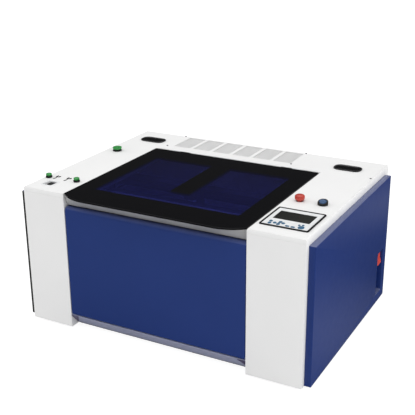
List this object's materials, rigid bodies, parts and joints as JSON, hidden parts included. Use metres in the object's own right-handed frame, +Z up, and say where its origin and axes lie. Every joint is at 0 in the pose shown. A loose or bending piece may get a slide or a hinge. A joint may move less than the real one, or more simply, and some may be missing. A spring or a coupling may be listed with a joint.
{
  "type": "laser cutter",
  "caption": "Desktop CO2 laser cutter: sheet-metal cabinet, tinted glass lid, drop-down front door, XY gantry with laser head, lifting honeycomb bed and operator controls on the top cover.",
  "frame": {"origin": "on the table under the middle of the machine", "axes": "+X to the operator's right, +Y to the rear, +Z up; the door and lid handle face -Y"},
  "size_m": [0.955, 0.76, 0.469],
  "materials": {
    "white_paint": "fine-textured powder coat",
    "blue_paint": "semi-gloss powder coat",
    "sill_paint": "semi-gloss powder coat",
    "black_paint": "satin",
    "tinted_glass": "polished, tinted, black printed border",
    "aluminium": "anodised satin",
    "steel": "satin",
    "black_plastic": "moulded, fine grain",
    "white_plastic": "moulded, satin",
    "screen_glass": "glossy",
    "red_plastic": "glossy",
    "blue_plastic": "glossy",
    "green_plastic": "glossy",
    "rubber": "moulded",
    "tube_glass": "clear"
  },
  "bodies": {
    "cabinet": {"chassis_pan": "white_paint", "left_housing": "white_paint", "right_housing": "white_paint", "top_cover": "white_paint", "vent_grille": "white_paint", "left_side_panel": "blue_paint", "right_side_panel": "blue_paint", "front_sill": "sill_paint", "y_motor": "black_paint", "tube_cradle": "aluminium", "laser_power_supply": "aluminium", "chamber_left_wall": "steel", "chamber_right_wall": "steel", "chamber_rear_wall": "steel", "y_rail_left": "steel", "y_rail_right": "steel", "lid_hinge": "steel", "grip_cup_left": "black_plastic", "grip_cup_right": "black_plastic", "exhaust_port": "black_plastic", "mains_inlet": "black_plastic", "start_button_bezel": "black_plastic", "lamp_button_bezel": "black_plastic", "fan_button_bezel": "black_plastic", "air_button_bezel": "black_plastic", "controller_bezel": "black_plastic", "data_port": "white_plastic", "controller_membrane": "white_plastic", "controller_screen": "screen_glass", "foot_front_left": "rubber", "foot_front_right": "rubber", "foot_rear_left": "rubber", "foot_rear_right": "rubber", "y_belt": "rubber", "laser_tube": "tube_glass"},
    "lid": {"lid_glass": "tinted_glass", "lid_frame": "black_paint", "lid_grip_lip": "aluminium"},
    "door": {"front_door": "blue_paint"},
    "strut_barrel": {"strut_cylinder": "black_paint"},
    "strut_piston": {"strut_rod": "steel"},
    "gantry": {"gantry_beam": "aluminium", "x_belt": "rubber", "x_motor": "black_paint"},
    "head": {"head_carriage": "black_paint"},
    "focus": {"focus_tube": "aluminium"},
    "x_drive": {"x_drive_pulley": "steel"},
    "x_idler": {"x_idler_pulley": "steel"},
    "y_drive": {"y_drive_pulley": "steel"},
    "y_idler": {"y_idler_pulley": "steel"},
    "bed": {"bed_frame": "aluminium", "honeycomb_panel": "aluminium"},
    "screw_left": {"lead_screw_left": "steel"},
    "screw_right": {"lead_screw_right": "steel"},
    "estop": {"estop_head": "red_plastic"},
    "start_cap": {"start_button_cap": "blue_plastic"},
    "lamp_cap": {"lamp_button_cap": "green_plastic"},
    "fan_cap": {"fan_button_cap": "green_plastic"},
    "air_cap": {"air_button_cap": "green_plastic"},
    "rocker": {"power_rocker": "red_plastic"}
  },
  "joints": [
    {"name": "lid_hinge", "type": "hinge", "parent": "cabinet", "child": "lid", "pos_m": [0, 0.1755, 0.4475], "axis": [-1, 0, 0], "range_deg": [0, 70]},
    {"name": "door_hinge", "type": "hinge", "parent": "cabinet", "child": "door", "pos_m": [0, -0.3455, 0.0595], "axis": [1, 0, 0], "range_deg": [0, 88]},
    {"name": "strut_pivot", "type": "hinge", "parent": "cabinet", "child": "strut_barrel", "pos_m": [0.262, 0.15, 0.42], "axis": [-1, 0, 0], "range_deg": [-1, 71.8]},
    {"name": "strut_extend", "type": "slide", "parent": "strut_barrel", "child": "strut_piston", "axis": [0, -0.9984, 0.0571], "range_m": [-0.001, 0.0439]},
    {"name": "gantry_slide", "type": "slide", "parent": "cabinet", "child": "gantry", "axis": [0, 1, 0], "range_m": [-0.2, 0.095]},
    {"name": "head_slide", "type": "slide", "parent": "gantry", "child": "head", "axis": [1, 0, 0], "range_m": [-0.25, 0.25]},
    {"name": "focus_slide", "type": "slide", "parent": "head", "child": "focus", "axis": [0, 0, 1], "range_m": [-0.015, 0]},
    {"name": "x_drive_spin", "type": "hinge", "parent": "gantry", "child": "x_drive", "pos_m": [0.266, -0.016, 0.387], "axis": [0, 1, 0], "continuous": true},
    {"name": "x_idler_spin", "type": "hinge", "parent": "gantry", "child": "x_idler", "pos_m": [-0.372, -0.016, 0.387], "axis": [0, 1, 0], "continuous": true},
    {"name": "y_drive_spin", "type": "hinge", "parent": "cabinet", "child": "y_drive", "pos_m": [-0.397, 0.16, 0.3346], "axis": [-1, 0, 0], "continuous": true},
    {"name": "y_idler_spin", "type": "hinge", "parent": "cabinet", "child": "y_idler", "pos_m": [-0.397, -0.268, 0.3346], "axis": [-1, 0, 0], "continuous": true},
    {"name": "bed_lift", "type": "slide", "parent": "cabinet", "child": "bed", "axis": [0, 0, 1], "range_m": [-0.12, 0]},
    {"name": "screw_left_spin", "type": "hinge", "parent": "cabinet", "child": "screw_left", "pos_m": [-0.358, -0.102, 0.17], "axis": [0, 0, 1], "continuous": true},
    {"name": "screw_right_spin", "type": "hinge", "parent": "cabinet", "child": "screw_right", "pos_m": [0.262, -0.102, 0.17], "axis": [0, 0, 1], "continuous": true},
    {"name": "estop_press", "type": "slide", "parent": "cabinet", "child": "estop", "axis": [0, 0, -1], "range_m": [0, 0.004]},
    {"name": "start_press", "type": "slide", "parent": "cabinet", "child": "start_cap", "axis": [0, 0, -1], "range_m": [0, 0.003]},
    {"name": "lamp_press", "type": "slide", "parent": "cabinet", "child": "lamp_cap", "axis": [0, 0, -1], "range_m": [0, 0.003]},
    {"name": "fan_press", "type": "slide", "parent": "cabinet", "child": "fan_cap", "axis": [0, 0, -1], "range_m": [0, 0.002]},
    {"name": "air_press", "type": "slide", "parent": "cabinet", "child": "air_cap", "axis": [0, 0, -1], "range_m": [0, 0.002]},
    {"name": "rocker_tilt", "type": "hinge", "parent": "cabinet", "child": "rocker", "pos_m": [0.459, 0.259, 0.16], "axis": [0, 1, 0], "range_deg": [0, 16]}
  ],
  "couplings": [
    {"joint": "strut_pivot", "follows": "lid_hinge", "ratio": 1.0111},
    {"joint": "strut_extend", "follows": "lid_hinge", "m_per_rad": 0.035121},
    {"joint": "x_drive_spin", "follows": "head_slide", "rad_per_m": 111.11},
    {"joint": "x_idler_spin", "follows": "head_slide", "rad_per_m": 111.11},
    {"joint": "y_drive_spin", "follows": "gantry_slide", "rad_per_m": 111.11},
    {"joint": "y_idler_spin", "follows": "gantry_slide", "rad_per_m": 111.11},
    {"joint": "screw_left_spin", "follows": "bed_lift", "rad_per_m": 785.4},
    {"joint": "screw_right_spin", "follows": "bed_lift", "rad_per_m": 785.4}
  ]
}
